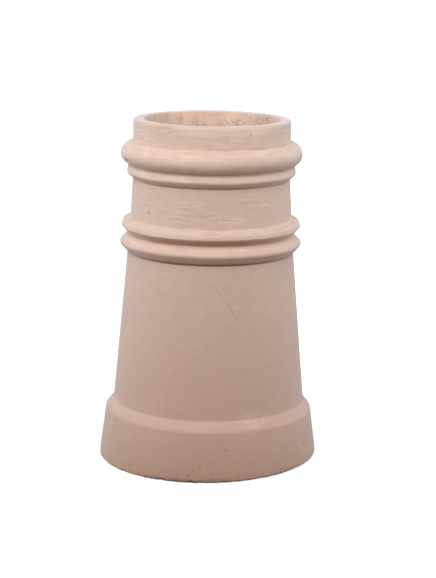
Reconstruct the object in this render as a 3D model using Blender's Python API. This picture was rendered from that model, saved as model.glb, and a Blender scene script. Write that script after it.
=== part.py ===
"""A roll-top chimney pot: one hollow piece of fired clay, open at its mouth and under its foot.

Metres, with +Z up. The pot is turned about its own axis from one section, tipped by its lean, and cut level
where it stands. The section is drawn in r and z. It runs up the bore, over the rim and down the outside.
"""
import math
from collections import namedtuple

import bmesh
import bpy
from mathutils import Matrix, Vector
from mathutils.geometry import intersect_line_line

# Heights along the pot's axis, from the rim down to the ground
RIM_TO_ROLL = 0.0449
ROLL_TO_FILLET = 0.0238
FILLET_TO_UPPER_BEAD = 0.0699
BEAD_SPACING = 0.0236
LOWER_BEAD_TO_SHOULDER = 0.2111
SHOULDER_HEIGHT = 0.0126
FOOT_HEIGHT = 0.0641

# Radii of the outer wall, and how far each step stands out from the wall above it
NECK_RADIUS = 0.1024
WAIST_RADIUS = 0.1075
BODY_FOOT_RADIUS = 0.1272
COLLAR_STEP = 0.0006
SHOULDER_STEP = 0.0102
FOOT_SPLAY = 0.0087

# Mouldings: how far each crest stands out from the wall, the radius of the crest,
# and the slopes of the flanks over and under it, from level. The upper bead's crest
# turns only a little below level, and breaks into its underside at a lip
ROLL_PROJECTION = 0.0159
ROLL_CREST = 0.0148
ROLL_OVER = math.radians(2)
ROLL_UNDER = math.radians(28)
FILLET_PROJECTION = 0.0082
FILLET_CREST = 0.0049
FILLET_OVER = math.radians(79)
FILLET_UNDER = math.radians(40)
UPPER_BEAD_PROJECTION = 0.0107
UPPER_BEAD_CREST = 0.0085
UPPER_BEAD_OVER = math.radians(12)
UPPER_BEAD_LIP = math.radians(12)
UPPER_BEAD_UNDER = math.radians(47)
LOWER_BEAD_PROJECTION = 0.0107
LOWER_BEAD_CREST = 0.0042
LOWER_BEAD_OVER = math.radians(44)
LOWER_BEAD_UNDER = math.radians(48)

# Thickness of the clay
WALL = 0.0138
FOOT_WALL = 0.0180

# Softened edges
RIM_ROUND = 0.0032
COVE_ROUND = 0.0040
SHOULDER_ROUND = 0.0070
FOOT_EDGE_ROUND = 0.0028

# The foot is out of square with the axis, so the pot leans this far towards +X
LEAN = math.radians(1.0)

# Facets
TURN_STEPS = 72
ARC_STEP = math.radians(24)
EDGE_STEPS = 2
MERGE_DISTANCE = 0.00001

# Levels above the middle of the foot
SHOULDER_EDGE_LEVEL = FOOT_HEIGHT
SHOULDER_TOP_LEVEL = SHOULDER_EDGE_LEVEL + SHOULDER_HEIGHT
LOWER_BEAD_LEVEL = SHOULDER_TOP_LEVEL + LOWER_BEAD_TO_SHOULDER
WAIST_LEVEL = LOWER_BEAD_LEVEL + BEAD_SPACING / 2
UPPER_BEAD_LEVEL = LOWER_BEAD_LEVEL + BEAD_SPACING
FILLET_LEVEL = UPPER_BEAD_LEVEL + FILLET_TO_UPPER_BEAD
ROLL_LEVEL = FILLET_LEVEL + ROLL_TO_FILLET
RIM_LEVEL = ROLL_LEVEL + RIM_TO_ROLL

COLLAR_RADIUS = NECK_RADIUS + COLLAR_STEP
SHOULDER_RADIUS = BODY_FOOT_RADIUS + SHOULDER_STEP
FOOT_RADIUS = SHOULDER_RADIUS + FOOT_SPLAY

Moulding = namedtuple("Moulding", "top_flank crest under_flank")


def on_line(start, end, level):
    """The point of the line through start and end at a level."""
    share = (level - start.y) / (end.y - start.y)
    return start.lerp(end, share)


def crossing(line, other):
    """Where two lines meet, each given by two of its points and carried on past them."""
    ends = [point.to_3d() for point in line + other]
    return intersect_line_line(*ends)[0].to_2d()


def arc(centre, start, end):
    """Points from start to end, the short way round a centre."""
    first = (start - centre).to_3d()
    turn = (start - centre).angle_signed(end - centre)
    steps = max(1, math.ceil(abs(turn) / ARC_STEP))
    return [centre + (Matrix.Rotation(-turn * i / steps, 3, "Z") @ first).to_2d() for i in range(steps + 1)]


def moulding(wall, level, projection, crest, over, under, lip=None):
    """A round crest that stands out from a wall, and the flanks that fall back from it at their slopes.

    The crest ends at its lip, an angle below level, or where it has turned into the slope of its under flank.
    """
    if lip is None:
        lip = math.pi / 2 - under
    centre = on_line(*wall, level)
    centre.x += projection - crest
    start = centre + crest * Vector((math.sin(over), math.cos(over)))
    end = centre + crest * Vector((math.cos(lip), -math.sin(lip)))
    top_flank = (start, start + Vector((-math.cos(over), math.sin(over))))
    under_flank = (end, end + Vector((-math.cos(under), -math.sin(under))))
    return Moulding(top_flank, arc(centre, start, end), under_flank)


def between(above, below, wall):
    """Where one moulding gives way to the next: the nick between them, or two points on the wall."""
    nick = crossing(above.under_flank, below.top_flank)
    if nick.x > on_line(*wall, nick.y).x:
        return [nick]
    return [crossing(above.under_flank, wall), crossing(below.top_flank, wall)]


def rounded_corner(before, corner, after, radius):
    """The arc that softens a corner, no longer than half of either side."""
    back = (before - corner).normalized()
    on = (after - corner).normalized()
    half_angle = back.angle(on) / 2
    longest = min((before - corner).length, (after - corner).length) / 2
    reach = min(radius / math.tan(half_angle), longest)
    centre = corner + (back + on).normalized() * (reach / math.cos(half_angle))
    return arc(centre, corner + back * reach, corner + on * reach)


def below_ground(start, end):
    """The line from start to end, carried on past the ground by enough for the level cut."""
    return on_line(start, end, -2 * FOOT_RADIUS * math.tan(LEAN) - FOOT_EDGE_ROUND)


def bore_section():
    """The bore, from under the ground up to the rim."""
    foot = Vector((FOOT_RADIUS - FOOT_WALL, 0))
    body_foot = Vector((BODY_FOOT_RADIUS - WALL, SHOULDER_TOP_LEVEL))
    waist = Vector((WAIST_RADIUS - WALL, WAIST_LEVEL))
    neck = Vector((NECK_RADIUS - WALL, FILLET_LEVEL))
    throat = Vector((COLLAR_RADIUS - WALL, ROLL_LEVEL))
    mouth = Vector((COLLAR_RADIUS - WALL, RIM_LEVEL))
    rim = Vector((COLLAR_RADIUS, RIM_LEVEL))
    points = [below_ground(body_foot, foot), body_foot, waist, neck, throat]
    return points + rounded_corner(throat, mouth, rim, RIM_ROUND)


def outer_section():
    """The outside, from the rim down to under the ground."""
    mouth = Vector((COLLAR_RADIUS - WALL, RIM_LEVEL))
    rim = Vector((COLLAR_RADIUS, RIM_LEVEL))
    collar_foot = Vector((COLLAR_RADIUS, ROLL_LEVEL))
    neck = Vector((NECK_RADIUS, FILLET_LEVEL))
    waist = Vector((WAIST_RADIUS, WAIST_LEVEL))
    body_foot = Vector((BODY_FOOT_RADIUS, SHOULDER_TOP_LEVEL))
    shoulder = Vector((SHOULDER_RADIUS, SHOULDER_EDGE_LEVEL))
    foot = Vector((FOOT_RADIUS, 0))

    collar_wall = (rim, collar_foot)
    throat_wall = (collar_foot, neck)
    neck_wall = (neck, waist)
    body_wall = (waist, body_foot)

    roll = moulding(collar_wall, ROLL_LEVEL, ROLL_PROJECTION, ROLL_CREST, ROLL_OVER, ROLL_UNDER)
    fillet = moulding(neck_wall, FILLET_LEVEL, FILLET_PROJECTION, FILLET_CREST, FILLET_OVER, FILLET_UNDER)
    upper_bead = moulding(
        neck_wall,
        UPPER_BEAD_LEVEL,
        UPPER_BEAD_PROJECTION,
        UPPER_BEAD_CREST,
        UPPER_BEAD_OVER,
        UPPER_BEAD_UNDER,
        UPPER_BEAD_LIP,
    )
    lower_bead = moulding(
        body_wall, LOWER_BEAD_LEVEL, LOWER_BEAD_PROJECTION, LOWER_BEAD_CREST, LOWER_BEAD_OVER, LOWER_BEAD_UNDER
    )

    points = rounded_corner(mouth, rim, collar_foot, RIM_ROUND)
    points += [crossing(collar_wall, roll.top_flank)] + roll.crest
    points += between(roll, fillet, throat_wall)
    points += fillet.crest + [crossing(fillet.under_flank, neck_wall)]
    points += [crossing(neck_wall, upper_bead.top_flank)] + upper_bead.crest
    points += between(upper_bead, lower_bead, neck_wall)
    points += lower_bead.crest + [crossing(lower_bead.under_flank, body_wall)]
    points += rounded_corner(waist, body_foot, shoulder, COVE_ROUND)
    points += rounded_corner(body_foot, shoulder, foot, SHOULDER_ROUND)
    points.append(below_ground(shoulder, foot))
    return points


def buff_clay():
    """Matt buff slip on fired clay."""
    material = bpy.data.materials.new("buff_clay")
    material.use_nodes = True
    shader = material.node_tree.nodes["Principled BSDF"]
    shader.inputs["Base Color"].default_value = (0.54, 0.38, 0.31, 1)
    shader.inputs["Roughness"].default_value = 0.8
    shader.inputs["Metallic"].default_value = 0
    return material


def chimney_pot():
    """Turns the section, tips the pot by its lean, cuts it level and closes it with a flat ring."""
    bm = bmesh.new()
    section = [bm.verts.new((point.x, 0, point.y)) for point in bore_section() + outer_section()]
    geometry = section + [bm.edges.new(pair) for pair in zip(section, section[1:])]
    bmesh.ops.spin(
        bm,
        geom=geometry,
        axis=(0, 0, 1),
        cent=(0, 0, 0),
        angle=math.tau,
        steps=TURN_STEPS,
        use_merge=True,
    )
    bmesh.ops.remove_doubles(bm, verts=bm.verts, dist=MERGE_DISTANCE)
    bmesh.ops.rotate(bm, verts=bm.verts, matrix=Matrix.Rotation(LEAN, 3, "Y"))

    everything = bm.verts[:] + bm.edges[:] + bm.faces[:]
    bmesh.ops.bisect_plane(bm, geom=everything, plane_co=(0, 0, 0), plane_no=(0, 0, 1), clear_inner=True)
    rims = [edge for edge in bm.edges if edge.is_boundary]
    bmesh.ops.bridge_loops(bm, edges=rims)
    bmesh.ops.bevel(
        bm,
        geom=rims,
        offset=FOOT_EDGE_ROUND,
        segments=EDGE_STEPS,
        profile=0.5,
        affect="EDGES",
        clamp_overlap=True,
    )
    bmesh.ops.recalc_face_normals(bm, faces=bm.faces)

    left = min(vert.co.x for vert in bm.verts)
    right = max(vert.co.x for vert in bm.verts)
    bmesh.ops.translate(bm, verts=bm.verts, vec=(-(left + right) / 2, 0, 0))

    mesh = bpy.data.meshes.new("chimney_pot")
    bm.to_mesh(mesh)
    bm.free()
    mesh.shade_smooth()
    mesh.set_sharp_from_angle(angle=math.radians(40))
    mesh.materials.append(buff_clay())
    pot = bpy.data.objects.new("chimney_pot", mesh)
    bpy.context.scene.collection.objects.link(pot)
    return pot


def main():
    for old in list(bpy.data.objects):
        bpy.data.objects.remove(old)
    chimney_pot()


main()
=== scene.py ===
"""A roll-top chimney pot in brushed buff slip, worn and chipped, on a plain stage.

The pot is turned from one section by hand tools, roughened by displacement, tipped by its lean, cut level
and chipped. Metres, +Z up. Heights on the pot are measured along its own axis from the middle of its foot.
"""
import math
from collections import namedtuple

import bmesh
import bpy
import numpy as np
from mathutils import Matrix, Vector
from mathutils.geometry import intersect_line_line


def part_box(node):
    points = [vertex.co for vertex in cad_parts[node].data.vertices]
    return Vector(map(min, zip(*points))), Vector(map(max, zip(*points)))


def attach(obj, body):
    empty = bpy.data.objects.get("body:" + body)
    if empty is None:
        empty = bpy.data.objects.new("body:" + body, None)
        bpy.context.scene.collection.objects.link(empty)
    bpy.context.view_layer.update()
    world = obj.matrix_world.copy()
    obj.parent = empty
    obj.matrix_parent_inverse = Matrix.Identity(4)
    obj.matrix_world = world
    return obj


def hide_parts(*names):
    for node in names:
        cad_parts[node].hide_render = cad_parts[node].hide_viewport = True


bl_info = {
    "name": "Chimney pot",
    "version": (1, 0, 0),
    "blender": (4, 5, 0),
    "location": "3D View > Sidebar > Chimney pot",
    "description": "Builds a fired-clay chimney pot and the stage that shows it",
    "category": "Object",
}

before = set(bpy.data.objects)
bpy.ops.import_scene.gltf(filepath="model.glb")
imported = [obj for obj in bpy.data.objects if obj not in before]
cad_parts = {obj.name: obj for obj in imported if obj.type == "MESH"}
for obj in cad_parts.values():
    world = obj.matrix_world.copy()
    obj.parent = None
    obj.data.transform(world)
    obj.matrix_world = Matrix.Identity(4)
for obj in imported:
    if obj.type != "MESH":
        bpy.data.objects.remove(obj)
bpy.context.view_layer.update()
POT_LOW, POT_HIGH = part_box("chimney_pot")

MERGE_DISTANCE = 0.00001
BORE_MARGIN = 0.0020
Moulding = namedtuple("Moulding", "top_flank centre start end under_flank")


def length(name, description, default):
    """A size in metres."""
    return bpy.props.FloatProperty(
        name=name, description=description, default=default, min=0.0, precision=4, unit="LENGTH"
    )


def offset(name, description, default):
    """A signed distance in metres."""
    return bpy.props.FloatProperty(
        name=name, description=description, default=default, precision=4, unit="LENGTH"
    )


def slope(name, description, degrees):
    """An angle, given in degrees."""
    return bpy.props.FloatProperty(
        name=name, description=description, default=math.radians(degrees), subtype="ANGLE"
    )


def share(name, description, default):
    """A share from nothing to all."""
    return bpy.props.FloatProperty(
        name=name, description=description, default=default, min=0.0, max=1.0, subtype="FACTOR"
    )


def amount(name, description, default):
    """A plain positive number."""
    return bpy.props.FloatProperty(name=name, description=description, default=default, min=0.0)


def colour(name, description, default):
    """A linear colour."""
    return bpy.props.FloatVectorProperty(
        name=name, description=description, default=default, size=3, min=0.0, max=1.0, subtype="COLOR"
    )


def gain(name, description, default):
    """A factor for each of red, green and blue."""
    return bpy.props.FloatVectorProperty(name=name, description=description, default=default, size=3, min=0.0)


class PotSizes(bpy.types.PropertyGroup):
    """Sizes of the pot's section, down its axis and out from it."""

    rim_to_roll: length("Rim to roll", "From the rim down to the roll's crest", 0.0449)
    roll_to_fillet: length("Roll to fillet", "From the roll's crest down to the fillet's", 0.0238)
    fillet_to_upper_bead: length("Fillet to upper bead", "From the fillet down to the upper bead", 0.0699)
    bead_spacing: length("Bead spacing", "From the upper bead down to the lower one", 0.0236)
    lower_bead_to_shoulder: length("Lower bead to shoulder", "From the lower bead to the shoulder", 0.2111)
    shoulder_height: length("Shoulder height", "Height of the sloping shoulder", 0.0126)
    foot_height: length("Foot height", "Height of the foot's face", 0.0641)

    neck_radius: length("Neck radius", "Outer radius under the roll", 0.1024)
    waist_radius: length("Waist radius", "Outer radius between the beads", 0.1075)
    body_foot_radius: length("Body foot radius", "Outer radius where the body meets the shoulder", 0.1272)
    collar_step: length("Collar step", "How far the collar stands out from the neck", 0.0006)
    shoulder_step: length("Shoulder step", "How far the shoulder stands out from the body", 0.0102)
    foot_splay: length("Foot splay", "How far the foot spreads below its shoulder", 0.0087)

    roll_projection: length("Roll projection", "How far the roll stands out", 0.0159)
    roll_crest: length("Roll crest", "Radius of the roll's section", 0.0148)
    roll_over: slope("Roll over", "Slope of the surface over the roll", 2)
    roll_under: slope("Roll under", "Slope of the surface under the roll", 28)
    fillet_projection: length("Fillet projection", "How far the fillet stands out", 0.0082)
    fillet_crest: length("Fillet crest", "Radius of the fillet's crest", 0.0049)
    fillet_over: slope("Fillet over", "Slope of the face over the fillet's crest", 79)
    fillet_under: slope("Fillet under", "Slope of the face under the fillet's crest", 40)
    upper_bead_projection: length("Upper bead projection", "How far the upper bead stands out", 0.0107)
    upper_bead_crest: length("Upper bead crest", "Radius of the upper bead's crest", 0.0085)
    upper_bead_over: slope("Upper bead over", "Slope of the face over the upper bead", 12)
    upper_bead_lip: slope("Upper bead lip", "How far below level its crest turns before it breaks under", 12)
    upper_bead_under: slope("Upper bead under", "Slope of the face under the upper bead", 47)
    lower_bead_projection: length("Lower bead projection", "How far the lower bead stands out", 0.0107)
    lower_bead_crest: length("Lower bead crest", "Radius of the lower bead's crest", 0.0042)
    lower_bead_over: slope("Lower bead over", "Slope of the face over the lower bead", 44)
    lower_bead_under: slope("Lower bead under", "Slope of the face under the lower bead", 48)

    wall: length("Wall", "Thickness of the clay", 0.0138)
    foot_wall: length("Foot wall", "Thickness of the clay at the ground", 0.0180)
    rim_round: length("Rim round", "Radius of the rim's softened outer edge", 0.0032)
    mouth_round: length("Mouth round", "Radius of the rim's crisper inner edge", 0.0012)
    cove_round: length("Cove round", "Radius where the body meets the shoulder", 0.0040)
    shoulder_round: length("Shoulder round", "Radius of the shoulder's edge", 0.0070)
    foot_edge_round: length("Foot edge round", "Softening of the edges the pot stands on", 0.0028)
    lean: slope("Lean", "How far the pot tips towards +X", 1.0)


class PotMesh(bpy.types.PropertyGroup):
    """How finely the section is drawn and turned."""

    turn_steps: bpy.props.IntProperty(
        name="Turn steps", description="Steps in one turn of the section", default=320, min=24
    )
    arc_row: length("Arc row", "Longest row on the mouldings' crests", 0.0022)
    arc_turn: slope("Arc turn", "Widest turn of one row on a crest", 11)
    flank_row: length("Flank row", "Row height on the mouldings' flanks", 0.0024)
    wall_row: length("Wall row", "Row height on the outer wall", 0.0031)
    mouth_row: length("Mouth row", "Row height inside the mouth, where it shows", 0.0026)
    mouth_depth: length("Mouth depth", "How far down the mouth its rows stay fine", 0.0600)
    bore_row: length("Bore row", "Row height further down the bore", 0.0100)
    foot_band: length("Foot band", "Height of the lowest row before the level cut", 0.0060)


def on_line(start, end, level):
    """The point of the line through start and end at a level."""
    part = (level - start.y) / (end.y - start.y)
    return start.lerp(end, part)


def crossing(line, other):
    """Where two lines meet, each given by two of its points and carried on past them."""
    ends = [point.to_3d() for point in line + other]
    return intersect_line_line(*ends)[0].to_2d()


def moulding(wall, level, projection, crest, over, under, lip=None):
    """A round crest that stands out from a wall, and the flanks that fall back from it at their slopes.

    The crest ends at its lip, an angle below level, or where it has turned into the slope of its under flank.
    """
    if lip is None:
        lip = math.pi / 2 - under
    centre = on_line(*wall, level)
    centre.x += projection - crest
    start = centre + crest * Vector((math.sin(over), math.cos(over)))
    end = centre + crest * Vector((math.cos(lip), -math.sin(lip)))
    top_flank = (start, start + Vector((-math.cos(over), math.sin(over))))
    under_flank = (end, end + Vector((-math.cos(under), -math.sin(under))))
    return Moulding(top_flank, centre, start, end, under_flank)


class PotSection:
    """The pot's levels on its axis, and the corners of its walls in radius and height."""

    def __init__(self, sizes):
        self.sizes = sizes
        self.shoulder_edge = sizes.foot_height
        self.shoulder_top = self.shoulder_edge + sizes.shoulder_height
        self.lower_bead = self.shoulder_top + sizes.lower_bead_to_shoulder
        self.waist_level = self.lower_bead + sizes.bead_spacing / 2
        self.upper_bead = self.lower_bead + sizes.bead_spacing
        self.fillet = self.upper_bead + sizes.fillet_to_upper_bead
        self.roll = self.fillet + sizes.roll_to_fillet
        self.rim_level = self.roll + sizes.rim_to_roll

        collar_radius = sizes.neck_radius + sizes.collar_step
        shoulder_radius = sizes.body_foot_radius + sizes.shoulder_step
        foot_radius = shoulder_radius + sizes.foot_splay
        self.rim = Vector((collar_radius, self.rim_level))
        self.collar_foot = Vector((collar_radius, self.roll))
        self.neck = Vector((sizes.neck_radius, self.fillet))
        self.waist = Vector((sizes.waist_radius, self.waist_level))
        self.body_foot = Vector((sizes.body_foot_radius, self.shoulder_top))
        self.shoulder = Vector((shoulder_radius, self.shoulder_edge))
        self.foot = Vector((foot_radius, 0))
        self.bore_foot = Vector((foot_radius - sizes.foot_wall, 0))

        inwards = Vector((-sizes.wall, 0))
        self.mouth = self.rim + inwards
        self.throat = self.collar_foot + inwards
        self.bore_neck = self.neck + inwards
        self.bore_waist = self.waist + inwards
        self.bore_body_foot = self.body_foot + inwards

    def mouldings(self):
        """The roll, the fillet and the two beads, each with the wall that it stands on."""
        sizes = self.sizes
        collar_wall = (self.rim, self.collar_foot)
        neck_wall = (self.neck, self.waist)
        body_wall = (self.waist, self.body_foot)
        roll = moulding(
            collar_wall, self.roll, sizes.roll_projection, sizes.roll_crest, sizes.roll_over, sizes.roll_under
        )
        fillet = moulding(
            neck_wall, self.fillet, sizes.fillet_projection, sizes.fillet_crest,
            sizes.fillet_over, sizes.fillet_under,
        )
        upper_bead = moulding(
            neck_wall, self.upper_bead, sizes.upper_bead_projection, sizes.upper_bead_crest,
            sizes.upper_bead_over, sizes.upper_bead_under, sizes.upper_bead_lip,
        )
        lower_bead = moulding(
            body_wall, self.lower_bead, sizes.lower_bead_projection, sizes.lower_bead_crest,
            sizes.lower_bead_over, sizes.lower_bead_under,
        )
        return (collar_wall, roll), (neck_wall, fillet), (neck_wall, upper_bead), (body_wall, lower_bead)

    def wall_radius(self, heights):
        """Radius of the outer wall, without its mouldings, at heights on the axis."""
        corners = [self.foot, self.shoulder, self.body_foot]
        corners += [self.waist, self.neck, self.collar_foot, self.rim]
        return np.interp(heights, [corner.y for corner in corners], [corner.x for corner in corners])


def clear_selection():
    """Leaves nothing selected and nothing in edit mode."""
    if bpy.context.object and bpy.context.object.mode != "OBJECT":
        bpy.ops.object.mode_set(mode="OBJECT")
    bpy.ops.object.select_all(action="DESELECT")


def make_active(piece):
    """Selects one object alone."""
    clear_selection()
    piece.select_set(True)
    bpy.context.view_layer.objects.active = piece


class SectionPen:
    """Draws a section in the XZ plane in edit mode, by extruding and spinning its last vertex."""

    def __init__(self, start, mesh_sizes):
        clear_selection()
        bpy.ops.mesh.primitive_plane_add(size=0.01, enter_editmode=True)
        bpy.context.tool_settings.mesh_select_mode = (True, False, False)
        bpy.ops.mesh.merge(type="CENTER")
        bpy.ops.transform.translate(value=(start.x, 0, start.y))
        self.at = start.copy()
        self.mesh_sizes = mesh_sizes

    def line(self, end, row):
        """A straight run of rows no longer than row."""
        steps = max(1, math.ceil((end - self.at).length / row - 0.01))
        stride = (end - self.at) / steps
        for _ in range(steps):
            bpy.ops.mesh.extrude_region_move(TRANSFORM_OT_translate={"value": (stride.x, 0, stride.y)})
        self.at = end.copy()

    def arc(self, centre, end):
        """An arc about a centre, the short way round."""
        turn = (self.at - centre).angle_signed(end - centre)
        run = abs(turn) * (end - centre).length
        by_turn = math.ceil(abs(turn) / self.mesh_sizes.arc_turn)
        by_run = math.ceil(run / self.mesh_sizes.arc_row)
        steps = max(2, by_turn, by_run)
        bpy.ops.mesh.spin(steps=steps, angle=-turn, center=(centre.x, 0, centre.y), axis=(0, 1, 0))
        self.at = end.copy()

    def corner(self, corner, after, radius, row):
        """A run up to a corner and the arc that softens it, on the way to the next corner."""
        back = (self.at - corner).normalized()
        on = (after - corner).normalized()
        half_angle = back.angle(on) / 2
        reach = min(radius / math.tan(half_angle), (after - corner).length / 2)
        centre = corner + (back + on).normalized() * (reach / math.cos(half_angle))
        self.line(corner + back * reach, row)
        self.arc(centre, corner + on * reach)

    def moulding(self, shape):
        """A moulding's crest, from where its top flank starts."""
        self.line(shape.start, self.mesh_sizes.flank_row)
        self.arc(shape.centre, shape.end)


def draw_section(section, mesh_sizes):
    """Draws the whole section, from under the ground up the bore, over the rim and down the outside."""
    sizes = section.sizes
    underground = -2 * section.foot.x * math.tan(sizes.lean) - sizes.foot_edge_round
    band = mesh_sizes.foot_band
    row = mesh_sizes.wall_row
    flank_row = mesh_sizes.flank_row
    mouth_bottom = section.rim_level - mesh_sizes.mouth_depth

    pen = SectionPen(on_line(section.bore_foot, section.bore_body_foot, underground), mesh_sizes)
    pen.line(on_line(section.bore_foot, section.bore_body_foot, band), 1)
    pen.line(section.bore_body_foot, mesh_sizes.bore_row)
    pen.line(section.bore_waist, mesh_sizes.bore_row)
    pen.line(section.bore_neck, mesh_sizes.bore_row)
    pen.line(on_line(section.bore_neck, section.throat, mouth_bottom), mesh_sizes.bore_row)
    pen.line(section.throat, mesh_sizes.mouth_row)
    pen.corner(section.mouth, section.rim, sizes.mouth_round, mesh_sizes.mouth_row)
    pen.corner(section.rim, section.collar_foot, sizes.rim_round, mesh_sizes.mouth_row)

    (collar_wall, roll), (neck_wall, fillet), (_, upper_bead), (body_wall, lower_bead) = section.mouldings()
    pen.line(crossing(collar_wall, roll.top_flank), row)
    pen.moulding(roll)
    pen.line(crossing(roll.under_flank, fillet.top_flank), flank_row)
    pen.moulding(fillet)
    pen.line(crossing(fillet.under_flank, neck_wall), flank_row)
    pen.line(crossing(neck_wall, upper_bead.top_flank), row)
    pen.moulding(upper_bead)
    pen.line(crossing(upper_bead.under_flank, lower_bead.top_flank), flank_row)
    pen.moulding(lower_bead)
    pen.line(crossing(lower_bead.under_flank, body_wall), flank_row)
    pen.corner(section.body_foot, section.shoulder, sizes.cove_round, row)
    pen.corner(section.shoulder, section.foot, sizes.shoulder_round, row)
    pen.line(on_line(section.shoulder, section.foot, band), row)
    pen.line(on_line(section.shoulder, section.foot, underground), 1)


def turn_section(mesh_sizes):
    """Spins the section once round the axis and closes the seam."""
    bpy.ops.mesh.select_all(action="SELECT")
    bpy.ops.mesh.spin(steps=mesh_sizes.turn_steps, angle=math.tau, center=(0, 0, 0), axis=(0, 0, 1))
    bpy.ops.mesh.select_all(action="SELECT")
    bpy.ops.mesh.remove_doubles(threshold=MERGE_DISTANCE)
    bpy.ops.mesh.normals_make_consistent(inside=False)
    bpy.ops.object.mode_set(mode="OBJECT")
    return bpy.context.object


def tip_and_cut(pot, sizes):
    """Tips the pot by its lean, cuts it level at the ground and closes the cut with a flat ring."""
    make_active(pot)
    bpy.ops.object.mode_set(mode="EDIT")
    bpy.ops.mesh.select_all(action="SELECT")
    bpy.ops.transform.rotate(value=-sizes.lean, orient_axis="Y", center_override=(0, 0, 0))
    bpy.ops.mesh.bisect(plane_co=(0, 0, 0), plane_no=(0, 0, 1), clear_inner=True, use_fill=False)
    bpy.ops.mesh.select_all(action="DESELECT")
    bpy.context.tool_settings.mesh_select_mode = (False, True, False)
    bpy.ops.mesh.select_non_manifold(
        extend=False, use_wire=False, use_boundary=True, use_multi_face=False,
        use_non_contiguous=False, use_verts=False,
    )
    bpy.ops.mesh.bridge_edge_loops(number_cuts=3, interpolation="LINEAR")
    bpy.ops.object.mode_set(mode="OBJECT")


class PotWear(bpy.types.PropertyGroup):
    """How far the clay departs from a true turning."""

    wave: length("Wave", "Depth of the broad unevenness of the walls", 0.0008)
    wave_size: length("Wave size", "Size of the broad unevenness", 0.07)
    wobble: length("Wobble", "How far the mouldings' edges wander up and down", 0.0014)
    wobble_size: length("Wobble size", "Size of the mouldings' wander", 0.03)
    turning: length("Turning marks", "Depth of the marks left by turning and brushing", 0.00022)
    turning_size: length("Turning mark height", "Height of one turning mark", 0.005)
    turning_stretch: amount("Turning mark stretch", "How many times longer than high a turning mark is", 14)
    pitting: length("Pitting", "Depth of the pits inside the mouth", 0.0012)
    pitting_size: length("Pit size", "Size of the pits inside the mouth", 0.005)
    edge_wear: length("Edge wear", "Roughness of the edge the pot stands on", 0.0020)
    edge_wear_size: length("Edge wear size", "Size of one worn place on that edge", 0.006)
    crumb_count: bpy.props.IntProperty(
        name="Crumbs", description="How many small chips the crumbled stretch has", default=30, min=2
    )
    crumb_seed: bpy.props.IntProperty(
        name="Crumb seed", description="Where the small chips fall", default=7, min=0
    )
    crumbs_from: slope("Crumbs from", "Where the crumbled stretch starts, from the front", -58)
    crumbs_to: slope("Crumbs to", "Where the crumbled stretch ends, from the front", 34)
    front_wear: length("Front wear", "Rounding of the most worn stretch of that edge", 0.0052)
    front_wear_turn: slope("Front wear turn", "Where that stretch lies, from the front towards the right", 42)


class PotFinish(bpy.types.PropertyGroup):
    """Colours of the slip, the clay under it and the marks on it, with painted highlights and shade."""

    slip: colour("Slip", "Brushed buff slip, up on the collar", (0.589, 0.423, 0.344))
    # The slip's colour low on the pot: darker towards the bottom
    slip_low: colour("Thin slip", "The same slip where it is thin, down on the foot", (0.386, 0.240, 0.181))
    # Painted highlight on the crests: how much paler and bluer, by colour
    crest_highlight_gain: gain("Crest gain", "How much paler the slip is on the crests, by colour", (1.20, 1.30, 1.31))
    # Darker still near the ground, by colour
    foot_darkening: gain("Foot loss", "How much of the slip's colour is left at the ground", (0.93, 0.89, 0.84))
    # Painted shade on faces that look down, warm like light bounced off the clay
    underside_shade: gain("Undersides", "How much of the slip's colour is left underneath", (0.92, 0.80, 0.74))
    dab_gain: gain("Dab gain", "How much paler the dabs of slip are, by colour", (1.20, 1.28, 1.30))
    rim_slip: colour("Rim slip", "Pale slip on the rim", (0.47, 0.375, 0.325))
    inside: colour("Inside", "Unslipped clay of the bore", (0.685, 0.500, 0.395))
    inside_speck: colour("Inside specks", "Pits and specks inside the mouth", (0.20, 0.10, 0.065))
    # Recess colour: mostly painted shade in the nicks under the mouldings, deep red like light bounced in a
    # groove, with some dirt
    recess_shade_and_dirt: colour("Recess", "Dirt in the nicks under the mouldings", (0.31, 0.075, 0.005))
    bare_clay: colour("Bare clay", "Red-brown clay where the pot is chipped", (0.105, 0.055, 0.045))
    brown_stain: colour("Brown stain", "Brown crumbs along the worn edge", (0.19, 0.088, 0.052))
    speck: colour("Speck", "Dark marks on the slip", (0.13, 0.045, 0.035))
    roughness: share("Roughness", "Roughness of the matt slip", 0.55)
    sheen: share("Sheen", "Soft pale bloom at grazing angles", 0.4)


class StageLook(bpy.types.PropertyGroup):
    """The camera, the floor and the soft light."""

    lens: bpy.props.FloatProperty(name="Lens", description="Focal length on a 36 mm frame", default=103.66)
    eye_distance: length("Camera distance", "How far the camera stands in front of the pot", 2.1647)
    eye_height: length("Camera height", "Height of the camera", 0.6944)
    aim_right: offset("Aim to the right", "Where the camera looks, across the pot", 0.01507)
    aim_height: length("Aim height", "Where the camera looks, up the pot", 0.22238)
    roll: slope("Camera roll", "Small turn of the camera about its own axis", -0.14)
    floor_radius: length("Floor radius", "How far the floor reaches", 40.0)
    floor_tone: colour("Floor tone", "Colour of the pale floor", (0.92, 0.92, 0.92))
    floor_glow: amount("Floor glow", "Light of the floor's own, which thins the pot's shadow on it", 0.35)
    sides: amount("Side light", "Brightness of the soft light from both sides", 2.12)
    back: amount("Back light", "Brightness of the light from behind", 0.50)
    above: amount("Top light", "Brightness of the light from straight above", 0.20)
    front: amount("Front light", "Brightness of the light from the front and above", 2.34)
    left: amount("Left light", "Further light from the left", 0.25)
    grazing: amount("Grazing light", "Brightness of the light from just under the horizon", 0.32)
    under: amount("Low light", "Brightness of the light from below", 0.21)
    backdrop: amount("Backdrop", "Brightness of the backdrop as seen", 1.0)
    key_power: amount("Key power", "Power of the soft lamp, in watts", 5.4)


KEY_PLACE = Vector((-0.2, -1.1, 1.2))
KEY_AIM = Vector((0, 0, 0.3))
KEY_SIZE = 0.9

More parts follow.
